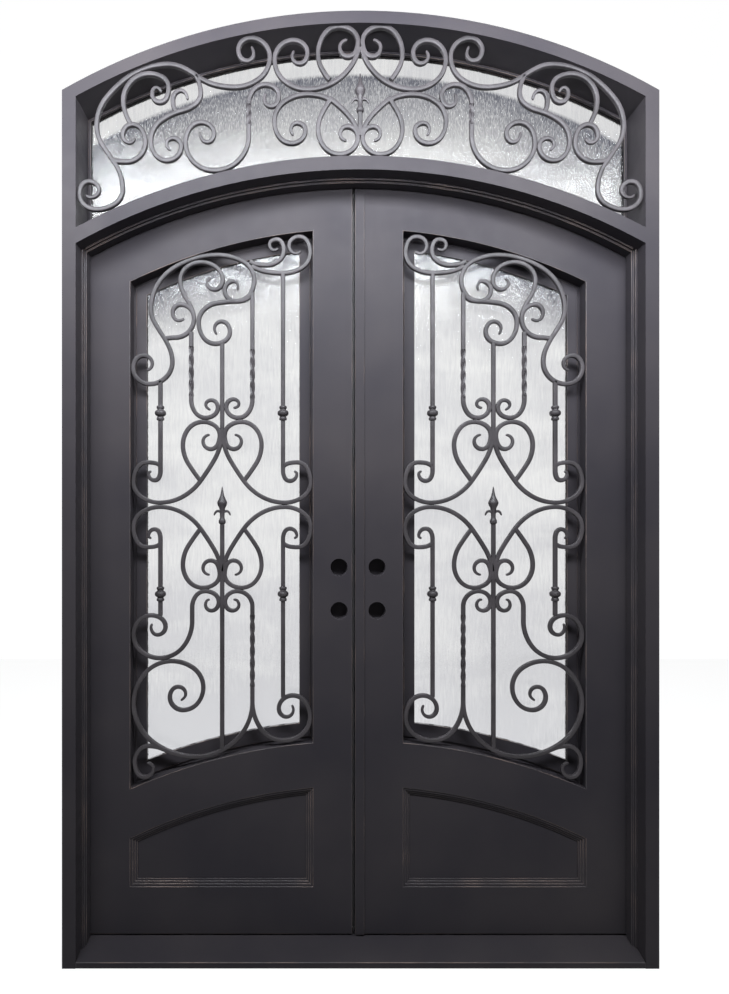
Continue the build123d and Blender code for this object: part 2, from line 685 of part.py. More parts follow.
def leaf_grille():
    """The left leaf's scrolls, welded to each other and to the opening, and the upright bars between them."""
    back = GRILLE_FRONT + BAR
    carrying, passing = leaf_scroll_outlines()
    carriers = joined([plate(outline, GRILLE_FRONT, back) for outline in carrying])
    bars = [largest(plate(outline, GRILLE_FRONT, back) - carriers) for outline in leaf_bar_outlines()]
    scrolls = carriers.fuse(*[plate(outline, GRILLE_FRONT, back) for outline in passing])
    opening = on_side(-1, plate(glazed_outline(0, 0), LEAF_FRONT, FRAME_DEPTH))
    scrolls = (scrolls & opening).cut(*bars)
    pieces = [piece for piece in scrolls.solids() if piece.volume > SCRAP_VOLUME]
    return Compound(children=pieces), Compound(children=bars)


def leaf_twists(side):
    spans = ((OUTER_TWIST, OUTER_TWIST_SPAN), (INNER_TWIST, INNER_TWIST_SPAN), (INNER_TWIST, FOOT_TWIST_SPAN))
    pieces = []
    for x, (low, high) in spans:
        stem = twisted_bar(leaf_x(x), leaf_z(low), leaf_z(high), GRILLE_FRONT)
        pieces.append(on_side(side, stem, drawn=-1))
    return Compound(children=pieces)


def leaf_collars(side):
    pieces = []
    for level in COLLAR_LEVELS:
        for x in (OUTER_BAR, INNER_BAR):
            piece = collar(leaf_x(x), leaf_z(level), GRILLE_FRONT)
            pieces.append(on_side(side, piece, drawn=-1))
    return Compound(children=pieces)


def spear(x, base, front):
    """A spear head: a ring, a cross piece with drooping arms and a tapering bud."""
    profile = (
        (0, 0),
        (0.42 * SPEAR_RADIUS, 0),
        (0.7 * SPEAR_RADIUS, 0.04 * SPEAR_HEIGHT),
        (0.7 * SPEAR_RADIUS, 0.1 * SPEAR_HEIGHT),
        (0.45 * SPEAR_RADIUS, 0.17 * SPEAR_HEIGHT),
        (0.5 * SPEAR_RADIUS, 0.38 * SPEAR_HEIGHT),
        (SPEAR_RADIUS, 0.57 * SPEAR_HEIGHT),
        (0.85 * SPEAR_RADIUS, 0.63 * SPEAR_HEIGHT),
        (0.24 * SPEAR_RADIUS, 0.86 * SPEAR_HEIGHT),
        (0.1 * SPEAR_RADIUS, SPEAR_HEIGHT),
        (0, SPEAR_HEIGHT),
    )
    head = turned_piece(x, front, [(radius, base + height) for radius, height in profile])
    arms = []
    for hand in (1, -1):
        arm = [
            (x, base + 0.27 * SPEAR_HEIGHT, 90 - hand * 30),
            (x + hand * 0.8 * SPEAR_RADIUS, base + 0.35 * SPEAR_HEIGHT, 90 - hand * 90),
            (x + hand * 1.6 * SPEAR_RADIUS, base + 0.23 * SPEAR_HEIGHT, 90 - hand * 165),
        ]
        arms.append(bar_solid(arm, front, width=0.6 * BAR))
    return head.fuse(*arms)


# Transom grille, drawn for the right half, seen from outside: X from the door's centre line,
# Z from the crown of the transom bar

TRANSOM_STEM = 344.0
STEM_TWIST_SPAN = (103.0, 166.0)
TRANSOM_SPEAR_FOOT = 69.0
TRANSOM_SPEAR_BASE = 141.0


def transom_x(drawn):
    return drawn * INNER_HALF / TRANSOM_DRAWN_REACH


def transom_z(drawn):
    return drawn * (OVERALL_HEIGHT - ARCH_FACE - TRANSOM_CROWN) / TRANSOM_DRAWN_HEIGHT + TRANSOM_CROWN


def transom_scroll(stations, **options):
    return bar_outline([(transom_x(x), transom_z(z), a) for x, z, a in stations], **options)


def transom_scroll_outlines():
    top_loop = [
        (95, 242, 50), (130, 322, 90), (64, 406, 180), (7.2, 359, 270), (38, 313, 0), (63, 342, 90),
        (40, 366, 170),
    ]
    long_swing = [
        (3, 341, 284), (163, 212, 0), (264, 304, 90), (206, 363, 180), (163, 324, 270),
        (187, 292, 0), (210, 315, 90), (204, 332, 120),
    ]
    crest = [
        (336, 345, 240), (329, 322, 270), (350, 300, 0), (376, 333, 90), (338, 370, 180),
        (279, 312, 270), (388, 219, 0), (500, 251, 35), (592, 289, 0), (716, 250, 324),
        (813, 101, 270), (755, -19, 236), (733, -96, 270), (814, -158, 0), (866, -111, 90),
        (836, -72, 180), (806, -99, 270), (832, -121, 0), (847, -112, 50),
    ]
    side_curl = [
        (762, -7, 195), (722, -11, 180), (663, 49, 90), (703, 104, 0), (733, 71, 270),
        (711, 48, 180), (695, 63, 110),
    ]
    side_loop = [
        (709, 107, 60), (731, 177, 90), (650, 260, 180), (591, 217, 270), (618, 173, 0),
        (642, 199, 90), (629, 218, 180), (614, 204, 250),
    ]
    swan = [
        (507, 255, 240), (492, 202, 270), (548, 147, 346), (646, 54, 270), (596, -7, 180),
        (552, 37, 90), (578, 62, 0), (598, 44, 270), (586, 24, 225),
    ]
    swan_curl = [(568, 145, 45), (578, 181, 90), (554, 209, 180), (533, 181, 270)]
    stem_hook = [
        (291, 199, 300), (296, 180, 270), (274, 160, 180), (251, 193, 90), (293, 227, 0),
        (TRANSOM_STEM, 169, 270), (TRANSOM_STEM, STEM_TWIST_SPAN[1], 270),
    ]
    stem_foot = [
        (TRANSOM_STEM, STEM_TWIST_SPAN[0], 270), (TRANSOM_STEM, 69, 270), (450, -38, 0), (539, 49, 90),
        (490, 111, 180), (451, 76, 270), (472, 50, 0), (495, 81, 90),
    ]
    low_swing = [
        (88, 175, 40), (163, 197, 0), (265, 114, 270), (211, 46, 180), (169, 86, 90),
        (195, 109, 0), (214, 89, 270), (206, 71, 225),
    ]
    low_loop = [
        (92, 181, 305), (130, 89, 270), (63, 12, 180), (7.2, 65, 90), (40, 98, 0),
        (62, 75, 270), (42, 55, 180),
    ]
    low_diagonal = [(95, 185, 215), (3, 69, 255)]
    curled = (top_loop, long_swing, side_curl, side_loop, swan, swan_curl, stem_foot, low_swing, low_loop)
    outlines = [transom_scroll(path, taper_end=CURL_TAPER) for path in curled]
    outlines.append(transom_scroll(crest, taper_start=CURL_TAPER, taper_end=LONG_TAPER))
    outlines.append(transom_scroll(stem_hook, taper_start=CURL_TAPER))
    outlines.append(transom_scroll(low_diagonal))
    return outlines


def transom_scrolls():
    back = TRANSOM_GRILLE_SETBACK + BAR
    right = [plate(outline, TRANSOM_GRILLE_SETBACK, back) for outline in transom_scroll_outlines()]
    left = [mirror(solid, about=Plane.YZ) for solid in right]
    whole = joined([*right, *left])
    return whole & plate(transom_outline(0), 0, FRAME_DEPTH)


def transom_twists():
    low, high = STEM_TWIST_SPAN
    stem = twisted_bar(transom_x(TRANSOM_STEM), transom_z(low), transom_z(high), TRANSOM_GRILLE_SETBACK)
    return Compound(children=[stem, mirror(stem, about=Plane.YZ)])


def transom_spear(scrolls):
    low, base = transom_z(TRANSOM_SPEAR_FOOT), transom_z(TRANSOM_SPEAR_BASE)
    foot = bar_solid([(0, low, 90), (0, base, 90)], TRANSOM_GRILLE_SETBACK)
    return largest(foot.fuse(spear(0, base, TRANSOM_GRILLE_SETBACK)) - scrolls)


def collect():
    nodes = {}
    nodes["left_jamb"] = jamb(-1)
    nodes["right_jamb"] = jamb(1)
    nodes["head_arch"] = head_arch()
    nodes["transom_bar"] = transom_bar()
    nodes["threshold"] = threshold()
    nodes["left_jamb_stop"] = jamb_stop(-1, nodes["threshold"])
    nodes["right_jamb_stop"] = jamb_stop(1, nodes["threshold"])
    nodes["head_stop"] = head_stop()
    nodes["transom_beads"] = transom_beads()
    nodes["transom_glass"] = transom_glass()
    nodes["transom_scrolls"] = transom_scrolls()
    nodes["transom_twists"] = transom_twists()
    nodes["transom_spear"] = transom_spear(nodes["transom_scrolls"])
    scrolls, bars = leaf_grille()
    for side, name in ((-1, "left"), (1, "right")):
        nodes[f"{name}_frame_hinges"] = frame_hinges(side)
        nodes[f"{name}_leaf_hinges"] = leaf_hinges(side)
        nodes[f"{name}_hinge_stile"] = hinge_stile(side)
        nodes[f"{name}_lock_stile"] = lock_stile(side)
        nodes[f"{name}_top_rail"] = top_rail(side)
        nodes[f"{name}_middle_rail"] = middle_rail(side)
        nodes[f"{name}_bottom_rail"] = bottom_rail(side)
        nodes[f"{name}_kick_panel"] = kick_panel(side)
        nodes[f"{name}_kick_moulding"] = kick_moulding(side)
        nodes[f"{name}_sash"] = sash(side)
        nodes[f"{name}_glass"] = glass(side)
        nodes[f"{name}_meeting_seal"] = meeting_seal(side)
        nodes[f"{name}_scrolls"] = on_side(side, scrolls, drawn=-1)
        nodes[f"{name}_bars"] = on_side(side, bars, drawn=-1)
        nodes[f"{name}_twists"] = leaf_twists(side)
        nodes[f"{name}_collars"] = leaf_collars(side)
        head = spear(leaf_x(CENTRE_BAR), leaf_z(SPEAR_BASE), GRILLE_FRONT)
        nodes[f"{name}_spear"] = on_side(side, head, drawn=-1)
    nodes["astragal"] = astragal()
    return nodes


os.makedirs("parts", exist_ok=True)
for node, shape in collect().items():
    export_step(shape, f"parts/{node}.step")
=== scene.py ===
import json
import math

import bmesh
import bpy
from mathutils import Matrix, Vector

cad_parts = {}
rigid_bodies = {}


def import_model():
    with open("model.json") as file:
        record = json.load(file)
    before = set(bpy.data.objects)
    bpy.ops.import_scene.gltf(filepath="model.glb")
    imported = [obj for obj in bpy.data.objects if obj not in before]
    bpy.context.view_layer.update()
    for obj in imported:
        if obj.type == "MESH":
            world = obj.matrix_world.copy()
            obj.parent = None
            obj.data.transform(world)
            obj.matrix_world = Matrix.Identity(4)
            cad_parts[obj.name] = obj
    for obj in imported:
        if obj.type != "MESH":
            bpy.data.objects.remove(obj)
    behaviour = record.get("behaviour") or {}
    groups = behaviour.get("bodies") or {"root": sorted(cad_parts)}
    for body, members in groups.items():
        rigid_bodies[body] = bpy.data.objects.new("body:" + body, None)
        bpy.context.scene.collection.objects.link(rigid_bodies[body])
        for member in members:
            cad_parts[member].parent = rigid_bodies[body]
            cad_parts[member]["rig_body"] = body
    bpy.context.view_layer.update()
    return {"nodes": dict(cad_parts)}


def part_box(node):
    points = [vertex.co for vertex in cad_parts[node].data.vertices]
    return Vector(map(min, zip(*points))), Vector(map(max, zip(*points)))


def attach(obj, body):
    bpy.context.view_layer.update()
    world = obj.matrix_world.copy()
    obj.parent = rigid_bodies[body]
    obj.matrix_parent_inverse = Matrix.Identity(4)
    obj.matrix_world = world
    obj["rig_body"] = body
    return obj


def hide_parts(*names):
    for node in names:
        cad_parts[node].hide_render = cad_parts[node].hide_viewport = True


# Double-leaf wrought-iron front door with an arched transom light. Metres; the outside faces -Y.
# The ironwork is one family of bars swept along bent centre lines. The steel of the frame and the
# leaves is the solid model with its edges eased. The panes and seals are the solids themselves.

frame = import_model()

# Forged bars: width, rounding of the corners, depth of the flutes, and lengths drawn out at the ends
BAR = 0.014
BAR_CORNER = 0.0032
TWIST_CORNER = 0.0010
FLUTE_SHARE = 0.31
TIP_SHARE = 0.55
TIP_END_SHARE = 0.55
CURL_TAPER = 0.07
LONG_TAPER = 0.08
HOOK_TAPER = 0.045
ARM_TAPER = 0.02
TWIST_PITCH = 0.160

# Fineness of the sweeps, and the small steps in thickness that keep crossing faces apart
POINT_SPACING = 0.004
CORNER_STEPS = 3
ROUND_STEPS = 24
FACE_STAGGER = 0.006
STAGGER_STEPS = 5
UNIT_RADIUS = 2                 # a section this wide takes its radius from the path's own thickness
STRAIGHT = 1e-6
PARALLEL = 1e-9
MERGE_DISTANCE = 1e-6
SMOOTH_ANGLE = math.radians(38)

# Steel: eased edges, flat faces, the jambs' lap into the arch, and the lock bores, whose rims stay painted
# like the faces, without the painted highlight of the other edges
FRAME_EDGE = 0.0016
THIN_EDGE = 0.0009
EDGE_SEGMENTS = 2
EDGE_ANGLE = math.radians(30)
FLAT_ANGLE = math.radians(0.2)
JAMB_LAP = 0.010
BORE_OFFSET = 0.061
BORE_HEIGHTS = (1.0848, 1.2245)
BORE_RIM = 0.031
LOCK_BORES = [(side * BORE_OFFSET, height) for side in (-1, 1) for height in BORE_HEIGHTS]

# Depth of the middle of each grille, from the solid model's own bars
LEAF_GRILLE_Y = sum(v.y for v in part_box("left_bars")) / 2
TRANSOM_GRILLE_Y = sum(v.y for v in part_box("transom_twists")) / 2

# Upright axes of the left leaf's grille, and the height that it is mirrored about
CENTRE_BAR = -0.438
OUTER_BAR = -0.6375
INNER_BAR = -0.2415
OUTER_TWIST = -0.538
INNER_TWIST = -0.3405
MIRROR_HEIGHT = 1.426
TRANSOM_STEM = 0.344


# Centre lines: a bar is bent flat, through stations (x, z, heading in degrees) joined by two tangent arcs

def heading(degrees):
    return Vector((math.cos(math.radians(degrees)), math.sin(math.radians(degrees))))


def meeting_point(start, start_way, end, end_way):
    """Where the two tangent arcs between a pair of stations meet."""
    gap = end - start
    along = gap.dot(start_way + end_way)
    spread = 2 * (1 - start_way.dot(end_way))
    if spread < PARALLEL:
        length = gap.dot(gap) / (4 * gap.dot(end_way))
    else:
        length = (math.sqrt(along ** 2 + spread * gap.dot(gap)) - along) / spread
    return (start + end + length * (start_way - end_way)) / 2


def arc_points(start, way, end):
    """Points along an arc that leaves start along way and reaches end, and its way there."""
    chord = end - start
    half_turn = math.atan2(way.x * chord.y - way.y * chord.x, way.dot(chord))
    bent = abs(half_turn) > STRAIGHT
    length = chord.length * (half_turn / math.sin(half_turn) if bent else 1)
    steps = max(1, math.ceil(length / POINT_SPACING))
    points = []
    for step in range(1, steps + 1):
        turn = half_turn * step / steps
        reach = chord.length * (math.sin(turn) / math.sin(half_turn) if bent else step / steps)
        lean = math.atan2(way.y, way.x) + turn
        points.append(start + reach * Vector((math.cos(lean), math.sin(lean))))
    end_lean = math.atan2(way.y, way.x) + 2 * half_turn
    return points, Vector((math.cos(end_lean), math.sin(end_lean)))


def centre_line(stations):
    points = [Vector(stations[0][:2])]
    way = heading(stations[0][2])
    for x, z, degrees in stations[1:]:
        start, end = points[-1], Vector((x, z))
        joint = meeting_point(start, way, end, heading(degrees))
        for target in (joint, end):
            part, way = arc_points(points[-1], way, target)
            points += part
        way = heading(degrees)
    return points


def drawn_out(points, taper_start, taper_end):
    """The bar's thickness at each point as a share: its ends are drawn out thin and rounded off."""
    places = [0.0]
    for before, after in zip(points, points[1:]):
        places.append(places[-1] + (after - before).length)
    total = places[-1]
    tip_radius = BAR * TIP_SHARE / 2
    shares = []
    for place in places:
        share = 1.0
        for taper, from_end in ((taper_start, place), (taper_end, total - place)):
            if taper:
                share = min(share, TIP_SHARE + (1 - TIP_SHARE) * from_end / taper)
                if from_end < tip_radius:
                    share *= TIP_END_SHARE + (1 - TIP_END_SHARE) * from_end / tip_radius
        shares.append(share)
    return shares


# Paths for the sweeps: each is (points in space, thickness shares, twist angles)

def bent_bar(stations, depth, side=-1, taper_start=0.0, taper_end=0.0, share=1.0):
    """A bar drawn on the left of the door; side=1 gives its mirror image on the right."""
    flat = centre_line(stations)
    points = [Vector((-side * p.x, depth, p.y)) for p in flat]
    shares = [share * s for s in drawn_out(flat, taper_start, taper_end)]
    return points, shares, [0.0] * len(points)


def twisted_stem(x, low, high, depth, side=-1):
    steps = math.ceil((high - low) / (POINT_SPACING / 2))
    quarter_turns = max(1, round((high - low) / TWIST_PITCH * 4))
    points = [Vector((-side * x, depth, low + (high - low) * n / steps)) for n in range(steps + 1)]
    angles = [side * quarter_turns * math.pi / 2 * n / steps for n in range(steps + 1)]
    return points, [1.0] * len(points), angles


def turned(x, profile, depth, side=-1):
    """A turned piece on an upright axis, from (height, radius) pairs."""
    points = [Vector((-side * x, depth, height)) for height, _ in profile]
    return points, [radius for _, radius in profile], [0.0] * len(points)


def across(stations):
    """The same bend, mirrored about the grille's upright centre bar."""
    return [(2 * CENTRE_BAR - x, z, 180 - a) for x, z, a in stations]


def below(stations):
    """The same bend, mirrored about the level middle of the grille."""
    return [(x, 2 * MIRROR_HEIGHT - z, -a) for x, z, a in stations]


# The leaf's scrolls, drawn on the left leaf

CROWN = [
    (-0.389, 2.118, 70), (-0.401, 2.148, 180), (-0.430, 2.118, 270), (-0.392, 2.083, 0),
    (-0.334, 2.150, 90), (-0.452, 2.232, 180), (-0.668, 2.058, 270), (-0.632, 1.975, 304),
    (-0.599, 1.887, 270), (-0.672, 1.816, 180), (-0.725, 1.868, 90), (-0.692, 1.908, 0),
    (-0.664, 1.882, 270), (-0.683, 1.861, 180),
]
UNDER_CROWN = [
    (-0.350, 2.098, 230), (-0.400, 2.083, 180), (-0.452, 2.078, 187), (-0.514, 2.015, 270),
    (-0.460, 1.946, 0), (-0.413, 1.985, 90), (-0.440, 2.018, 180), (-0.463, 1.995, 270),
    (-0.456, 1.976, 300),
]
HINGE_SIDE_CURL = [
    (-0.622, 1.962, 15), (-0.590, 1.966, 0), (-0.529, 2.027, 90), (-0.572, 2.073, 180),
    (-0.598, 2.045, 270), (-0.578, 2.021, 0), (-0.561, 2.028, 45),
]
INNER_LOOP = [
    (-0.530, 2.040, 105), (-0.573, 2.150, 90), (-0.505, 2.209, 0), (-0.436, 2.150, 270),
    (-0.463, 2.121, 180), (-0.487, 2.142, 90), (-0.474, 2.158, 20),
]
LOCK_SIDE_CURL = [
    (-0.342, 2.196, 330), (-0.240, 2.174, 0), (-0.154, 2.240, 90), (-0.189, 2.291, 180),
    (-0.222, 2.262, 270), (-0.200, 2.237, 0), (-0.184, 2.246, 45),
]
SMALL_CURL = [
    (-0.348, 2.212, 325), (-0.295, 2.200, 0), (-0.239, 2.247, 90), (-0.262, 2.282, 180),
    (-0.285, 2.265, 270), (-0.271, 2.248, 0), (-0.257, 2.254, 40),
]
OUTER_HOOK = [
    (OUTER_TWIST, 1.777, 270), (OUTER_TWIST, 1.765, 270), (-0.491, 1.707, 0), (-0.452, 1.740, 90),
    (-0.473, 1.764, 180), (-0.491, 1.749, 270), (-0.476, 1.732, 330),
]
INNER_HOOK = [
    (INNER_TWIST, 1.770, 270), (INNER_TWIST, 1.765, 270), (-0.387, 1.707, 180), (-0.425, 1.742, 90),
    (-0.402, 1.767, 0), (-0.384, 1.752, 270), (-0.402, 1.739, 180),
]
HEART = [
    (-0.508, 1.503, 128), (-0.565, 1.620, 90), (-0.500, 1.694, 0), (-0.446, 1.650, 270),
    (-0.475, 1.606, 180), (-0.500, 1.631, 90), (-0.478, 1.652, 0),
]
BIG_C = [
    (-0.440, 1.640, 262), (-0.508, 1.503, 234), (-0.640, 1.433, 180), (-0.724, 1.500, 90),
    (-0.680, 1.563, 0), (OUTER_BAR, 1.552, 320),
]
LOWER_OUTER = [
    (-0.478, 1.119, 160), (-0.492, 1.103, 270), (-0.473, 1.084, 0), (-0.449, 1.112, 90),
    (-0.492, 1.147, 180), (-0.535, 1.095, 270), (-0.535, 1.050, 270), (-0.640, 0.931, 180),
    (-0.724, 1.006, 90), (-0.667, 1.069, 0), (-0.621, 1.032, 270), (-0.647, 1.006, 180),
    (-0.668, 1.030, 90), (-0.664, 1.042, 60),
]
LOWER_INNER_CURL = [
    (-0.402, 1.119, 20), (-0.384, 1.103, 270), (-0.404, 1.084, 180), (-0.429, 1.112, 90),
    (-0.390, 1.147, 0), (INNER_TWIST, 1.098, 270), (INNER_TWIST, 1.070, 270),
]
LOCK_SIDE_FOOT = [
    (INNER_TWIST, 0.839, 270), (INNER_TWIST, 0.790, 270), (-0.240, 0.665, 0), (-0.154, 0.740, 90),
    (-0.210, 0.810, 180), (-0.255, 0.768, 270), (-0.230, 0.741, 0), (-0.208, 0.764, 90),
    (-0.213, 0.779, 120),
]
HINGE_SIDE_FOOT = [
    (INNER_TWIST, 0.790, 270), (-0.525, 0.613, 180), (-0.724, 0.785, 90), (-0.600, 0.921, 0),
    (-0.499, 0.836, 270), (-0.564, 0.763, 180), (-0.607, 0.805, 90), (-0.580, 0.838, 0),
    (-0.556, 0.815, 270), (-0.572, 0.794, 210),
]
CORNER_CURL = [
    (-0.6255, 0.636, 153), (-0.6755, 0.647, 180), (-0.720, 0.597, 270), (-0.688, 0.547, 0),
    (-0.660, 0.574, 90), (-0.681, 0.592, 180),
]

# Stations, length drawn out at the start, length drawn out at the end
LEAF_SCROLLS = [
    (CROWN, CURL_TAPER, CURL_TAPER), (UNDER_CROWN, 0, LONG_TAPER), (HINGE_SIDE_CURL, 0, CURL_TAPER),
    (INNER_LOOP, 0, CURL_TAPER), (LOCK_SIDE_CURL, 0, LONG_TAPER), (SMALL_CURL, 0, CURL_TAPER),
    (LOCK_SIDE_FOOT, 0, LONG_TAPER), (HINGE_SIDE_FOOT, 0, LONG_TAPER), (CORNER_CURL, 0, CURL_TAPER),
    (OUTER_HOOK, 0, CURL_TAPER), (INNER_HOOK, 0, CURL_TAPER), (LOWER_OUTER, CURL_TAPER, CURL_TAPER),
    (LOWER_INNER_CURL, CURL_TAPER, 0),
]
for mirror in (lambda s: s, across, below, lambda s: below(across(s))):
    LEAF_SCROLLS.append((mirror(HEART), 0, CURL_TAPER))
    LEAF_SCROLLS.append((mirror(BIG_C), 0, 0))

OUTER_HOOK_END = [(OUTER_BAR, 1.535, 270), (-0.6565, 1.505, 180), (-0.676, 1.526, 90), (-0.667, 1.535, 30)]
INNER_HOOK_END = [(INNER_BAR, 1.535, 270), (-0.219, 1.503, 0), (-0.197, 1.526, 90), (-0.206, 1.535, 150)]
LEAF_SPEAR_BASE = 1.363
LEAF_BARS = [
    ([(OUTER_BAR, 1.826, 270), *OUTER_HOOK_END], HOOK_TAPER),
    ([(INNER_BAR, 2.180, 270), *INNER_HOOK_END], HOOK_TAPER),
    ([(OUTER_BAR, 1.068, 90), *below(OUTER_HOOK_END)], HOOK_TAPER),
    ([(INNER_BAR, 0.805, 90), *below(INNER_HOOK_END)], HOOK_TAPER),
    ([(CENTRE_BAR, 1.950, 270), (CENTRE_BAR, 1.640, 270)], 0),
    ([(CENTRE_BAR, 0.640, 90), (CENTRE_BAR, LEAF_SPEAR_BASE, 90)], 0),
    ([(OUTER_TWIST, 1.984, 270), (OUTER_TWIST, 1.937, 270)], 0),
    ([(INNER_TWIST, 2.110, 270), (INNER_TWIST, 1.927, 270)], 0),
]
LEAF_TWISTS = [(OUTER_TWIST, 1.777, 1.937), (INNER_TWIST, 1.770, 1.927), (INNER_TWIST, 0.839, 1.070)]
LEAF_COLLARS = [(OUTER_BAR, 1.722), (INNER_BAR, 1.722), (OUTER_BAR, 1.138), (INNER_BAR, 1.138)]

# The transom's scrolls, drawn on the right half

TOP_LOOP = [
    (0.095, 2.733, 50), (0.130, 2.813, 90), (0.064, 2.897, 180), (0.0072, 2.850, 270),
    (0.038, 2.804, 0), (0.063, 2.833, 90), (0.040, 2.857, 170),
]
LONG_SWING = [
    (0.003, 2.832, 284), (0.163, 2.703, 0), (0.264, 2.795, 90), (0.206, 2.854, 180),
    (0.163, 2.815, 270), (0.187, 2.783, 0), (0.210, 2.806, 90), (0.204, 2.823, 120),
]
CREST = [
    (0.336, 2.836, 240), (0.329, 2.813, 270), (0.350, 2.791, 0), (0.376, 2.824, 90),
    (0.338, 2.861, 180), (0.279, 2.803, 270), (0.388, 2.710, 0), (0.500, 2.742, 35),
    (0.592, 2.780, 0), (0.716, 2.741, 324), (0.813, 2.592, 270), (0.755, 2.472, 236),
    (0.733, 2.395, 270), (0.814, 2.333, 0), (0.866, 2.380, 90), (0.836, 2.419, 180),
    (0.806, 2.392, 270), (0.832, 2.370, 0), (0.847, 2.379, 50),
]
SIDE_CURL = [
    (0.762, 2.484, 195), (0.722, 2.480, 180), (0.663, 2.540, 90), (0.703, 2.595, 0),
    (0.733, 2.562, 270), (0.711, 2.539, 180), (0.695, 2.554, 110),
]
SIDE_LOOP = [
    (0.709, 2.598, 60), (0.731, 2.668, 90), (0.650, 2.751, 180), (0.591, 2.708, 270),
    (0.618, 2.664, 0), (0.642, 2.690, 90), (0.629, 2.709, 180), (0.614, 2.695, 250),
]
SWAN = [
    (0.507, 2.746, 240), (0.492, 2.693, 270), (0.548, 2.638, 346), (0.646, 2.545, 270),
    (0.596, 2.484, 180), (0.552, 2.528, 90), (0.578, 2.553, 0), (0.598, 2.535, 270),
    (0.586, 2.515, 225),
]
SWAN_CURL = [(0.568, 2.636, 45), (0.578, 2.672, 90), (0.554, 2.700, 180), (0.533, 2.672, 270)]
STEM_HOOK = [
    (0.291, 2.690, 300), (0.296, 2.671, 270), (0.274, 2.651, 180), (0.251, 2.684, 90),
    (0.293, 2.718, 0), (TRANSOM_STEM, 2.660, 270), (TRANSOM_STEM, 2.657, 270),
]
STEM_FOOT = [
    (TRANSOM_STEM, 2.594, 270), (TRANSOM_STEM, 2.560, 270), (0.450, 2.453, 0), (0.539, 2.540, 90),
    (0.490, 2.602, 180), (0.451, 2.567, 270), (0.472, 2.541, 0), (0.495, 2.572, 90),
]
LOW_SWING = [
    (0.088, 2.666, 40), (0.163, 2.688, 0), (0.265, 2.605, 270), (0.211, 2.537, 180),
    (0.169, 2.577, 90), (0.195, 2.600, 0), (0.214, 2.580, 270), (0.206, 2.562, 225),
]
LOW_LOOP = [
    (0.092, 2.672, 305), (0.130, 2.580, 270), (0.063, 2.503, 180), (0.0072, 2.556, 90),
    (0.040, 2.589, 0), (0.062, 2.566, 270), (0.042, 2.546, 180),
]
LOW_DIAGONAL = [(0.095, 2.676, 215), (0.003, 2.560, 255)]
TRANSOM_SCROLLS = [
    (TOP_LOOP, 0, CURL_TAPER), (LONG_SWING, 0, CURL_TAPER), (SIDE_CURL, 0, CURL_TAPER),
    (SIDE_LOOP, 0, CURL_TAPER), (SWAN, 0, CURL_TAPER), (SWAN_CURL, 0, CURL_TAPER),
    (STEM_FOOT, 0, CURL_TAPER), (LOW_SWING, 0, CURL_TAPER), (LOW_LOOP, 0, CURL_TAPER),
    (CREST, CURL_TAPER, LONG_TAPER), (STEM_HOOK, CURL_TAPER, 0), (LOW_DIAGONAL, 0, 0),
]
TRANSOM_TWIST = (TRANSOM_STEM, 2.594, 2.657)
TRANSOM_SPEAR_BASE = 2.632
TRANSOM_SPEAR_FOOT = 2.560

# Turned pieces: heights and radii
COLLAR_PROFILE = [
    (-0.023, 0.0086), (-0.0228, 0.0112), (-0.0205, 0.0124), (-0.0165, 0.0124), (-0.0142, 0.0112),
    (-0.0125, 0.0098), (-0.0104, 0.0104), (-0.0078, 0.0146), (-0.0050, 0.0172), (-0.0020, 0.0180),
    (0.0020, 0.0180), (0.0050, 0.0172), (0.0078, 0.0146), (0.0104, 0.0104), (0.0125, 0.0098),
    (0.0142, 0.0112), (0.0165, 0.0124), (0.0205, 0.0124), (0.0228, 0.0112), (0.023, 0.0086),
]
SPEAR_PROFILE = [
    (0.000, 0.0070), (0.002, 0.0098), (0.005, 0.0115), (0.012, 0.0115), (0.016, 0.0094),
    (0.021, 0.0076), (0.034, 0.0078), (0.046, 0.0084), (0.054, 0.0104), (0.061, 0.0142),
    (0.067, 0.0162), (0.0695, 0.0165), (0.074, 0.0152), (0.082, 0.0112), (0.092, 0.0068),
    (0.105, 0.0040), (0.117, 0.0022), (0.1215, 0.0010),
]
SPEAR_ARM = [(0.000, 0.033, 60), (0.0132, 0.0427, 0), (0.0264, 0.0285, 285)]
SPEAR_ARM_SHARE = 0.62


# Sweeps with Geometry Nodes

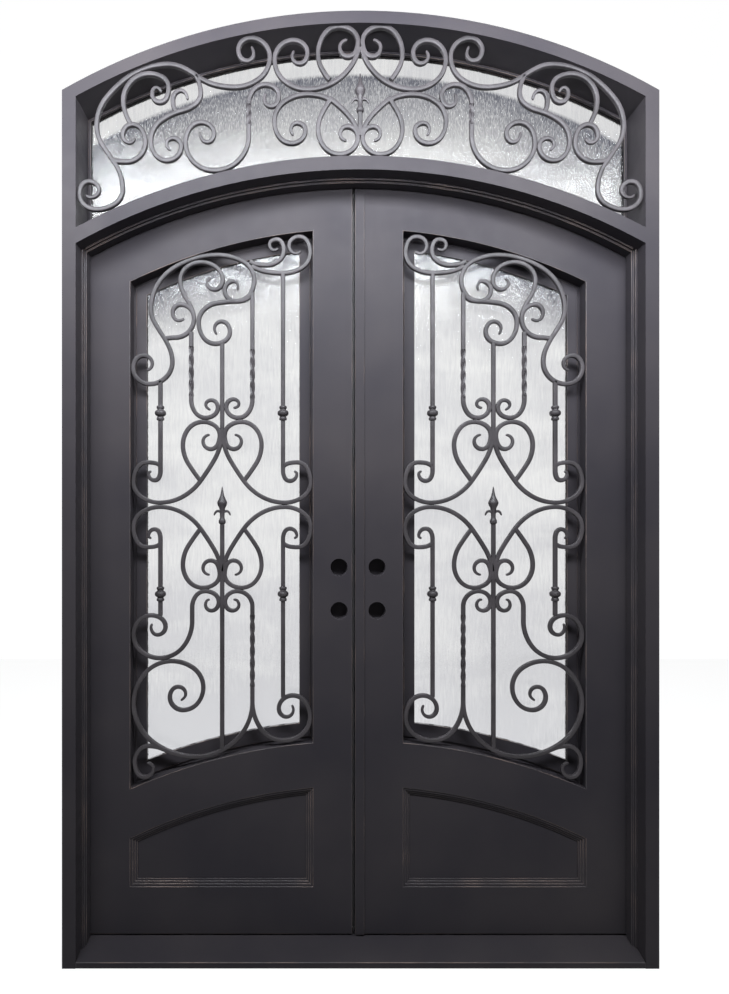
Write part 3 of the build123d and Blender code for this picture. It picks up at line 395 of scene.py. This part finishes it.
def sweep_tree(name, section_kind):
    """A node group that sweeps a round, square or fluted section along every path."""
    tree = bpy.data.node_groups.new(name, "GeometryNodeTree")
    face = tree.interface
    face.new_socket("Paths", in_out="INPUT", socket_type="NodeSocketGeometry")
    width = face.new_socket("Section width", in_out="INPUT", socket_type="NodeSocketFloat")
    width.default_value = BAR
    corner = face.new_socket("Corner radius", in_out="INPUT", socket_type="NodeSocketFloat")
    corner.default_value = BAR_CORNER
    steps = face.new_socket("Section steps", in_out="INPUT", socket_type="NodeSocketInt")
    steps.default_value = CORNER_STEPS
    face.new_socket("Finish", in_out="INPUT", socket_type="NodeSocketMaterial")
    face.new_socket("Bars", in_out="OUTPUT", socket_type="NodeSocketGeometry")
    add, link = tree.nodes.new, tree.links.new
    given, made = add("NodeGroupInput"), add("NodeGroupOutput")
    sweep = add("GeometryNodeCurveToMesh")
    sweep.inputs["Fill Caps"].default_value = True
    link(add("GeometryNodeInputRadius").outputs["Radius"], sweep.inputs["Scale"])

    def share_of_width(share):
        part = add("ShaderNodeMath")
        part.operation = "MULTIPLY"
        part.inputs[1].default_value = share
        link(given.outputs["Section width"], part.inputs[0])
        return part.outputs[0]

    if section_kind == "round":
        section = add("GeometryNodeCurvePrimitiveCircle")
        link(share_of_width(0.5), section.inputs["Radius"])
        link(given.outputs["Section steps"], section.inputs["Resolution"])
        link(section.outputs["Curve"], sweep.inputs["Profile Curve"])
    else:
        rounding = add("GeometryNodeFilletCurve")
        rounding.mode = "POLY"
        if section_kind == "square":
            section = add("GeometryNodeCurvePrimitiveQuadrilateral")
            link(given.outputs["Section width"], section.inputs["Width"])
            link(given.outputs["Section width"], section.inputs["Height"])
        else:
            section = add("GeometryNodeCurveStar")
            section.inputs["Points"].default_value = 4
            link(share_of_width(FLUTE_SHARE), section.inputs["Inner Radius"])
            link(share_of_width(math.sqrt(0.5)), section.inputs["Outer Radius"])
        link(section.outputs["Curve"], rounding.inputs["Curve"])
        link(given.outputs["Corner radius"], rounding.inputs["Radius"])
        link(given.outputs["Section steps"], rounding.inputs["Count"])
        link(rounding.outputs["Curve"], sweep.inputs["Profile Curve"])
    smooth = add("GeometryNodeSetShadeSmooth")
    real, painted = add("GeometryNodeRealizeInstances"), add("GeometryNodeSetMaterial")
    link(given.outputs["Paths"], sweep.inputs["Curve"])
    link(sweep.outputs["Mesh"], smooth.inputs["Geometry"])
    link(smooth.outputs["Geometry"], real.inputs["Geometry"])
    link(real.outputs["Geometry"], painted.inputs["Geometry"])
    link(given.outputs["Finish"], painted.inputs["Material"])
    link(painted.outputs["Geometry"], made.inputs["Bars"])
    return tree


def plain_mesh(maker, name):
    """The evaluated result of a working object as an object of its own; the working object goes."""
    depsgraph = bpy.context.evaluated_depsgraph_get()
    mesh = bpy.data.meshes.new_from_object(maker.evaluated_get(depsgraph), depsgraph=depsgraph)
    mesh.name = name
    piece = bpy.data.objects.new(name, mesh)
    bpy.context.scene.collection.objects.link(piece)
    bpy.data.objects.remove(maker)
    return piece


def swept(name, paths, tree, finish, width=BAR, corner=BAR_CORNER, steps=CORNER_STEPS):
    """One piece from many paths, a hair apart in thickness by turns, so that few crossing faces coincide."""
    curve = bpy.data.curves.new(name + "_paths", "CURVE")
    curve.dimensions = "3D"
    for number, (points, shares, angles) in enumerate(paths):
        spline = curve.splines.new("POLY")
        spline.points.add(len(points) - 1)
        for spot, point, share, angle in zip(spline.points, points, shares, angles):
            spot.co = (*point, 1)
            spot.radius = share * (1 - FACE_STAGGER * (number % STAGGER_STEPS))
            spot.tilt = angle
    maker = bpy.data.objects.new(name + "_paths", curve)
    bpy.context.scene.collection.objects.link(maker)
    modifier = maker.modifiers.new("sweep", "NODES")
    modifier.node_group = tree
    sockets = {item.name: item.identifier for item in tree.interface.items_tree}
    modifier[sockets["Section width"]] = width
    modifier[sockets["Corner radius"]] = corner
    modifier[sockets["Section steps"]] = steps
    modifier[sockets["Finish"]] = finish
    piece = plain_mesh(maker, name)
    closed = bmesh.new()
    closed.from_mesh(piece.data)
    bmesh.ops.remove_doubles(closed, verts=closed.verts, dist=MERGE_DISTANCE)
    bmesh.ops.recalc_face_normals(closed, faces=closed.faces)
    closed.to_mesh(piece.data)
    closed.free()
    piece.data.set_sharp_from_angle(angle=SMOOTH_ANGLE)
    return piece


# Steel from the solid model, with its edges eased

def simplified(piece):
    """The piece without doubled points and without seams in its flat faces."""
    for layer in ("custom_normal", "sharp_edge", "sharp_face"):
        if layer in piece.data.attributes:
            piece.data.attributes.remove(piece.data.attributes[layer])
    merged = bmesh.new()
    merged.from_mesh(piece.data)
    bmesh.ops.remove_doubles(merged, verts=merged.verts, dist=MERGE_DISTANCE)
    bmesh.ops.dissolve_limit(merged, angle_limit=FLAT_ANGLE, verts=merged.verts, edges=merged.edges)
    merged.to_mesh(piece.data)
    merged.free()
    return piece


def working_copy(node, lap):
    """A copy of a solid, its head pushed up by a lap."""
    mesh = frame["nodes"][node].data.copy()
    mesh.materials.clear()
    if lap:
        middle = sum(vertex.co.z for vertex in mesh.vertices) / len(mesh.vertices)
        for vertex in mesh.vertices:
            if vertex.co.z > middle:
                vertex.co.z += lap
    piece = bpy.data.objects.new(node + "_copy", mesh)
    bpy.context.scene.collection.objects.link(piece)
    return simplified(piece)


def welded(name, nodes):
    """Copies of solids that touch as one closed piece; the jambs run up into the arch."""
    whole, *others = [working_copy(node, JAMB_LAP if node.endswith("jamb") else 0) for node in nodes]
    for other in others:
        weld = whole.modifiers.new(other.name, "BOOLEAN")
        weld.operation = "UNION"
        weld.solver = "EXACT"
        weld.object = other
    whole = plain_mesh(whole, name)
    for other in others:
        bpy.data.objects.remove(other)
    return simplified(whole)


def eased(name, nodes, width, finish, edge_rub_and_highlight):
    """The solids in one piece with small rounds on its edges, which carry a finish of their own:
    rubbed bronze, lighter also as a painted highlight along every edge.

    The rims of the lock bores keep the finish of the faces, without that painted highlight.
    """
    maker = welded(name + "_sharp", nodes)
    maker.data.materials.clear()
    maker.data.materials.append(finish)
    maker.data.materials.append(edge_rub_and_highlight)
    for face in maker.data.polygons:
        face.material_index = 0
    maker.data.shade_smooth()
    bevel = maker.modifiers.new("eased_edges", "BEVEL")
    bevel.width = width
    bevel.segments = EDGE_SEGMENTS
    bevel.limit_method = "ANGLE"
    bevel.angle_limit = EDGE_ANGLE
    bevel.material = 1
    bevel.harden_normals = True
    piece = plain_mesh(maker, name + "_steel")
    for face in piece.data.polygons:
        x, _, z = face.center
        if any(math.hypot(x - bore_x, z - bore_z) < BORE_RIM for bore_x, bore_z in LOCK_BORES):
            face.material_index = 0
    return piece


# Finishes

class Shader:
    """A material under construction: a Principled surface and the nodes that feed it."""

    def __init__(self, name, **sockets):
        self.material = bpy.data.materials.new(name)
        self.material.use_nodes = True
        self.tree = self.material.node_tree
        self.surface = self.tree.nodes["Principled BSDF"]
        for socket, value in sockets.items():
            self.surface.inputs[socket.replace("_", " ")].default_value = value
        self.place = self.tree.nodes.new("ShaderNodeTexCoord").outputs["Object"]

    def stretched(self, scale):
        mapping = self.tree.nodes.new("ShaderNodeMapping")
        mapping.inputs["Scale"].default_value = scale
        self.tree.links.new(self.place, mapping.inputs["Vector"])
        return mapping.outputs["Vector"]

    def noise(self, scale, detail=3.0, distortion=0.0, stretch=(1, 1, 1)):
        noise = self.tree.nodes.new("ShaderNodeTexNoise")
        noise.inputs["Scale"].default_value = scale
        noise.inputs["Detail"].default_value = detail
        noise.inputs["Distortion"].default_value = distortion
        self.tree.links.new(self.stretched(stretch), noise.inputs["Vector"])
        return noise.outputs["Fac"]

    def band(self, value, low, high, to_low=0.0, to_high=1.0):
        """A value between low and high, spread over another range."""
        spread = self.tree.nodes.new("ShaderNodeMapRange")
        for socket, number in zip(("From Min", "From Max", "To Min", "To Max"), (low, high, to_low, to_high)):
            spread.inputs[socket].default_value = number
        self.tree.links.new(value, spread.inputs["Value"])
        return spread.outputs["Result"]

    def distance(self, centre):
        """Distance from a point in the plane of the door."""
        gap = self.tree.nodes.new("ShaderNodeVectorMath")
        gap.operation = "DISTANCE"
        self.tree.links.new(self.stretched((1, 0, 1)), gap.inputs[0])
        gap.inputs[1].default_value = centre
        return gap.outputs["Value"]

    def height(self):
        parts = self.tree.nodes.new("ShaderNodeSeparateXYZ")
        self.tree.links.new(self.place, parts.inputs[0])
        return parts.outputs["Z"]

    def combine(self, operation, first, second):
        """Two values added or multiplied, held between nothing and one."""
        result = self.tree.nodes.new("ShaderNodeMath")
        result.operation = operation
        result.use_clamp = True
        self.tree.links.new(first, result.inputs[0])
        self.tree.links.new(second, result.inputs[1])
        return result.outputs[0]

    def blend(self, share, first, second):
        """A colour between two colours, which may be fixed or come from another node."""
        mix = self.tree.nodes.new("ShaderNodeMix")
        mix.data_type = "RGBA"
        self.tree.links.new(share, mix.inputs["Factor"])
        for socket, colour in ((mix.inputs[6], first), (mix.inputs[7], second)):
            if isinstance(colour, tuple):
                socket.default_value = (*colour, 1)
            else:
                self.tree.links.new(colour, socket)
        return mix.outputs[2]

    def feed(self, socket, value):
        self.tree.links.new(value, self.surface.inputs[socket])

    def relief(self, height, strength, distance):
        bump = self.tree.nodes.new("ShaderNodeBump")
        bump.inputs["Strength"].default_value = strength
        bump.inputs["Distance"].default_value = distance
        self.tree.links.new(height, bump.inputs["Height"])
        self.feed("Normal", bump.outputs["Normal"])


DARK_BRONZE = (0.038, 0.034, 0.040)
WARM_BRONZE = (0.056, 0.049, 0.053)
# rubbed bronze on the edges, lightened as a painted highlight
RUBBED_BRONZE_AND_HIGHLIGHT = (0.175, 0.125, 0.108)
IRON_GREY = (0.061, 0.053, 0.058)
IRON_SHADE = (0.031, 0.027, 0.030)
GLASS_CLEAR = (0.84, 0.84, 0.83)
# random cloud in the panes, and the painted shade towards their foot
GLASS_CLOUD_AND_FOOT_SHADE = (0.64, 0.64, 0.66)
# painted shade on the panes, in an arched band under their top edge
GLASS_SHADE = (0.10, 0.105, 0.135)
SHADE_EDGE = 0.012


def painted_bronze():
    finish = Shader("painted_bronze", Specular_IOR_Level=0.06)
    cloud = finish.noise(2.2, detail=4)
    finish.feed("Base Color", finish.blend(finish.band(cloud, 0.35, 0.7), DARK_BRONZE, WARM_BRONZE))
    finish.feed("Roughness", finish.band(finish.noise(28, detail=4), 0.3, 0.7, 0.36, 0.5))
    finish.relief(finish.noise(160, detail=2), 0.05, 0.002)
    return finish.material


# Rubbed bronze on every eased edge: in part the real rub, in part a painted highlight along each edge
def rubbed_edge_and_highlight():
    finish = Shader("rubbed_edge_and_highlight", Specular_IOR_Level=0.4)
    patches = finish.band(finish.noise(9, detail=5), 0.42, 0.68)
    finish.feed("Base Color", finish.blend(patches, WARM_BRONZE, RUBBED_BRONZE_AND_HIGHLIGHT))
    finish.feed("Roughness", finish.band(patches, 0, 1, 0.42, 0.32))
    return finish.material


def forged_iron():
    finish = Shader("forged_iron", Specular_IOR_Level=0.3)
    patches = finish.band(finish.noise(14, detail=4), 0.35, 0.7)
    finish.feed("Base Color", finish.blend(patches, IRON_SHADE, IRON_GREY))
    finish.feed("Roughness", finish.band(finish.noise(60, detail=3), 0.3, 0.7, 0.36, 0.5))
    finish.relief(finish.noise(90, detail=2), 0.25, 0.002)
    return finish.material


def hinge_steel():
    finish = Shader("hinge_steel", Metallic=0.7, Roughness=0.38)
    finish.feed("Base Color", finish.blend(finish.noise(30), (0.05, 0.048, 0.05), (0.09, 0.085, 0.085)))
    return finish.material


def rain_glass(name, shine, centre_height, shade_top, shade_foot, clear_height):
    """Glass with fine runs like rain, cloudy, duller towards its foot as painted shade, and with painted
    shade in an arched band.

    The band of painted shade follows an arc about a point on the door's centre line; it is darkest
    along its top.
    """
    finish = Shader(name, Transmission_Weight=1.0, IOR=1.45, Specular_IOR_Level=shine)
    runs = finish.noise(430, detail=2, distortion=0.4, stretch=(1, 1, 0.2))
    streaks = finish.noise(170, detail=3, stretch=(1, 1, 0.12))
    cloud = finish.noise(2.6, detail=4, distortion=0.6, stretch=(1, 1, 2.4))
    radius = finish.distance((0, 0, centre_height))
    under_top = finish.band(radius, shade_top + SHADE_EDGE, shade_top)
    shade = finish.combine("MULTIPLY", finish.band(radius, shade_foot, shade_top), under_top)
    # the painted shade of the band, broken up by the runs
    painted_shade_in_runs = finish.combine("MULTIPLY", shade, finish.band(runs, 0.30, 0.54))
    # painted shade: the pane greyer towards its foot, below clear_height
    low = finish.band(finish.height(), clear_height, clear_height - 1, 0, 0.6)
    clouded, streaked = finish.band(cloud, 0.35, 0.65, 0, 0.6), finish.band(streaks, 0.35, 0.65, 0, 0.4)
    grain = finish.combine("ADD", clouded, streaked)
    cloud_and_foot_shade = finish.combine("ADD", low, grain)
    body = finish.blend(cloud_and_foot_shade, GLASS_CLEAR, GLASS_CLOUD_AND_FOOT_SHADE)
    finish.feed("Base Color", finish.blend(painted_shade_in_runs, body, GLASS_SHADE))
    finish.feed("Roughness", finish.band(runs, 0.3, 0.7, 0.05, 0.14))
    finish.relief(runs, 0.35, 0.003)
    return finish.material


def seal_rubber():
    finish = Shader("seal_rubber")
    finish.feed("Base Color", finish.blend(finish.noise(40), (0.13, 0.125, 0.13), (0.18, 0.175, 0.18)))
    finish.feed("Roughness", finish.band(finish.noise(25), 0.3, 0.7, 0.6, 0.75))
    return finish.material


PAINT, EDGE, IRON = painted_bronze(), rubbed_edge_and_highlight(), forged_iron()
HINGE, RUBBER = hinge_steel(), seal_rubber()
TRANSOM_PANE = rain_glass(
    "transom_rain_glass", shine=0.25, centre_height=1.091, shade_top=1.73, shade_foot=1.46, clear_height=2.4)
LEAF_PANE = rain_glass(
    "leaf_rain_glass", shine=0.05, centre_height=0.649, shade_top=1.625, shade_foot=1.46, clear_height=1.6)


# Putting the pieces on the frame

def settle(piece, body, slot, *nodes):
    """The piece moves with its body and stands for its solids, which are hidden; slot is not used."""
    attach(piece, body)
    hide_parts(*nodes)
    return piece


def body_of(node):
    return frame["nodes"][node]["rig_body"]


def dress_steel():
    stout = {
        "door_frame": ["left_jamb", "right_jamb", "head_arch", "transom_bar"],
        "threshold": ["threshold"],
    }
    thin = ["left_jamb_stop", "right_jamb_stop", "head_stop", "transom_beads", "astragal"]
    hinges = []
    for hand in ("left", "right"):
        stout[f"{hand}_leaf_frame"] = [f"{hand}_{part}" for part in (
            "hinge_stile", "lock_stile", "top_rail", "middle_rail", "bottom_rail")]
        for part in ("sash", "kick_panel"):
            stout[f"{hand}_{part}"] = [f"{hand}_{part}"]
        thin.append(f"{hand}_kick_moulding")
        hinges += [f"{hand}_frame_hinges", f"{hand}_leaf_hinges"]
    for name, nodes in stout.items():
        settle(eased(name, nodes, FRAME_EDGE, PAINT, EDGE), body_of(nodes[0]), "painted_steel", *nodes)
    for node in thin:
        settle(eased(node, [node], THIN_EDGE, PAINT, EDGE), body_of(node), "painted_steel", node)
    for node in hinges:
        settle(eased(node, [node], THIN_EDGE, HINGE, HINGE), body_of(node), "hinge_steel", node)


def dress_glass_and_seals():
    finishes = {
        "transom_glass": (TRANSOM_PANE, "rain_glass"),
        "left_glass": (LEAF_PANE, "rain_glass"),
        "right_glass": (LEAF_PANE, "rain_glass"),
        "left_meeting_seal": (RUBBER, "seal_rubber"),
        "right_meeting_seal": (RUBBER, "seal_rubber"),
    }
    for node, (finish, slot) in finishes.items():
        solid = frame["nodes"][node]
        solid.data.materials.clear()
        solid.data.materials.append(finish)


def spear_paths(x, base, depth, side):
    """A spear head's turned body, and its two arms as bent bars."""
    body = turned(x, [(base + height, radius) for height, radius in SPEAR_PROFILE], depth, side)
    arms = []
    for hand in (1, -1):
        arm = [(x + hand * dx, base + dz, 90 - hand * (90 - a)) for dx, dz, a in SPEAR_ARM]
        arms.append(bent_bar(arm, depth, side, 0, ARM_TAPER, share=SPEAR_ARM_SHARE))
    return body, arms


def dress_ironwork():
    square, turning = sweep_tree("swept_square_bar", "square"), sweep_tree("turned_on_axis", "round")
    fluted = sweep_tree("swept_fluted_bar", "fluted")
    for side, hand in ((-1, "left"), (1, "right")):
        body = hand + "_leaf"
        scrolls = [bent_bar(s, LEAF_GRILLE_Y, side, start, end) for s, start, end in LEAF_SCROLLS]
        bars = [bent_bar(s, LEAF_GRILLE_Y, side, 0, end) for s, end in LEAF_BARS]
        stems = [twisted_stem(x, low, high, LEAF_GRILLE_Y, side) for x, low, high in LEAF_TWISTS]
        collars = [
            turned(x, [(middle + height, radius) for height, radius in COLLAR_PROFILE], LEAF_GRILLE_Y, side)
            for x, middle in LEAF_COLLARS
        ]
        spear, arms = spear_paths(CENTRE_BAR, LEAF_SPEAR_BASE, LEAF_GRILLE_Y, side)
        settle(swept(f"{hand}_scroll_work", scrolls, square, IRON), body, "forged_iron", f"{hand}_scrolls")
        settle(swept(f"{hand}_upright_bars", bars, square, IRON), body, "forged_iron", f"{hand}_bars")
        settle(
            swept(f"{hand}_twisted_bars", stems, fluted, IRON, corner=TWIST_CORNER),
            body, "forged_iron", f"{hand}_twists")
        settle(
            swept(f"{hand}_turned_collars", collars, turning, IRON, width=UNIT_RADIUS, steps=ROUND_STEPS),
            body, "forged_iron", f"{hand}_collars")
        settle(
            swept(f"{hand}_spear_head", [spear], turning, IRON, width=UNIT_RADIUS, steps=ROUND_STEPS),
            body, "forged_iron", f"{hand}_spear")
        settle(swept(f"{hand}_spear_arms", arms, square, IRON), body, "forged_iron", f"{hand}_spear")
    depth = TRANSOM_GRILLE_Y
    scrolls = [bent_bar(s, depth, side, start, end) for side in (-1, 1) for s, start, end in TRANSOM_SCROLLS]
    stems = [twisted_stem(*TRANSOM_TWIST, depth, side) for side in (-1, 1)]
    spear, arms = spear_paths(0, TRANSOM_SPEAR_BASE, depth, -1)
    foot = bent_bar([(0, TRANSOM_SPEAR_FOOT, 90), (0, TRANSOM_SPEAR_BASE, 90)], depth)
    settle(swept("transom_scroll_work", scrolls, square, IRON), "frame", "forged_iron", "transom_scrolls")
    settle(
        swept("transom_twisted_stems", stems, fluted, IRON, corner=TWIST_CORNER),
        "frame", "forged_iron", "transom_twists")
    settle(
        swept("transom_spear_head", [spear], turning, IRON, width=UNIT_RADIUS, steps=ROUND_STEPS),
        "frame", "forged_iron", "transom_spear")
    settle(swept("transom_spear_arms", [foot, *arms], square, IRON), "frame", "forged_iron", "transom_spear")


dress_steel()
dress_glass_and_seals()
dress_ironwork()


# Stage

STAGE_REACH = 14.0
BACKDROP_Y = 5.0
PAPER = (0.15, 0.15, 0.15)
FLOOR_GLOW = 0.92
BACKDROP_GLOW = 0.97
AMBIENT = 0.10
LAMP_TINT = (0.90, 0.96, 1.0)


def shown_white(tree):
    """Light Path: one for what a camera, glossy or transmitted ray meets, and nothing otherwise."""
    path = tree.nodes.new("ShaderNodeLightPath")
    seen = path.outputs["Is Camera Ray"]
    for kind in ("Is Glossy Ray", "Is Transmission Ray"):
        either = tree.nodes.new("ShaderNodeMath")
        either.operation = "MAXIMUM"
        tree.links.new(seen, either.inputs[0])
        tree.links.new(path.outputs[kind], either.inputs[1])
        seen = either.outputs[0]
    return seen


def paper(name, own_light):
    """Pale paper that shows near white and still takes the object's shadow."""
    material = bpy.data.materials.new(name)
    material.use_nodes = True
    tree = material.node_tree
    surface = tree.nodes["Principled BSDF"]
    surface.inputs["Base Color"].default_value = (*PAPER, 1)
    surface.inputs["Roughness"].default_value = 0.9
    surface.inputs["Specular IOR Level"].default_value = 0.0
    glow = tree.nodes.new("ShaderNodeMath")
    glow.operation = "MULTIPLY"
    glow.inputs[1].default_value = own_light
    tree.links.new(shown_white(tree), glow.inputs[0])
    surface.inputs["Emission Color"].default_value = (1, 1, 1, 1)
    tree.links.new(glow.outputs[0], surface.inputs["Emission Strength"])
    return material


def flat_sheet(name, corners, material):
    mesh = bpy.data.meshes.new(name)
    mesh.from_pydata(corners, [], [(0, 1, 2, 3)])
    mesh.materials.append(material)
    sheet = bpy.data.objects.new(name, mesh)
    bpy.context.scene.collection.objects.link(sheet)


def light_the_world():
    world = bpy.data.worlds.new("pale_room")
    bpy.context.scene.world = world
    world.use_nodes = True
    tree = world.node_tree
    background = tree.nodes["Background"]
    background.inputs["Color"].default_value = (1, 1, 1, 1)
    strength = tree.nodes.new("ShaderNodeMapRange")
    strength.inputs["To Min"].default_value = AMBIENT
    strength.inputs["To Max"].default_value = 1.0
    tree.links.new(shown_white(tree), strength.inputs["Value"])
    tree.links.new(strength.outputs["Result"], background.inputs["Strength"])


def soft_lamp(name, place, target, size, energy, spread=180, mirrored=True):
    """A broad lamp that is never seen through the panes, and mirrored in the pieces only where asked."""
    lamp = bpy.data.lights.new(name, "AREA")
    lamp.shape = "RECTANGLE"
    lamp.size, lamp.size_y = size
    lamp.spread = math.radians(spread)
    lamp.energy = energy
    lamp.color = LAMP_TINT
    holder = bpy.data.objects.new(name, lamp)
    holder.location = place
    holder.rotation_euler = (Vector(target) - Vector(place)).to_track_quat("-Z", "Y").to_euler()
    holder.visible_transmission = False
    holder.visible_glossy = mirrored
    bpy.context.scene.collection.objects.link(holder)


def set_the_stage():
    reach, back = STAGE_REACH, BACKDROP_Y
    floor = [(-reach, -reach, 0), (reach, -reach, 0), (reach, back, 0), (-reach, back, 0)]
    wall = [(-reach, back, 0), (reach, back, 0), (reach, back, reach), (-reach, back, reach)]
    flat_sheet("floor", floor, paper("floor_paper", FLOOR_GLOW))
    flat_sheet("backdrop", wall, paper("backdrop_paper", BACKDROP_GLOW))
    light_the_world()
    soft_lamp("front_lamp", place=(-0.15, -1.45, 3.05), target=(0, 0, 2.7), size=(3.4, 0.5), energy=145)
    soft_lamp(
        "brow_lamp", place=(0, -1.7, 2.35), target=(0, 0, 2.75), size=(3.0, 0.3), energy=18,
        spread=90, mirrored=False)
    soft_lamp("rear_lamp", place=(0, 1.5, 5.6), target=(0, 0, 1.3), size=(5.0, 1.0), energy=260)


# Camera at the photograph's viewing point

CAMERA_PLACE = (-0.1662, -2.1275, 1.333)
LENS = 24.26
SHIFT = (0.0585, 0.0368)


def place_camera():
    camera = bpy.data.cameras.new("camera")
    camera.sensor_width = 36
    camera.lens = LENS
    camera.shift_x, camera.shift_y = SHIFT
    holder = bpy.data.objects.new("camera", camera)
    holder.location = CAMERA_PLACE
    holder.rotation_euler = (math.pi / 2, 0, 0)
    bpy.context.scene.collection.objects.link(holder)
    bpy.context.scene.camera = holder


set_the_stage()
place_camera()
bpy.context.scene.view_settings.view_transform = "Standard"
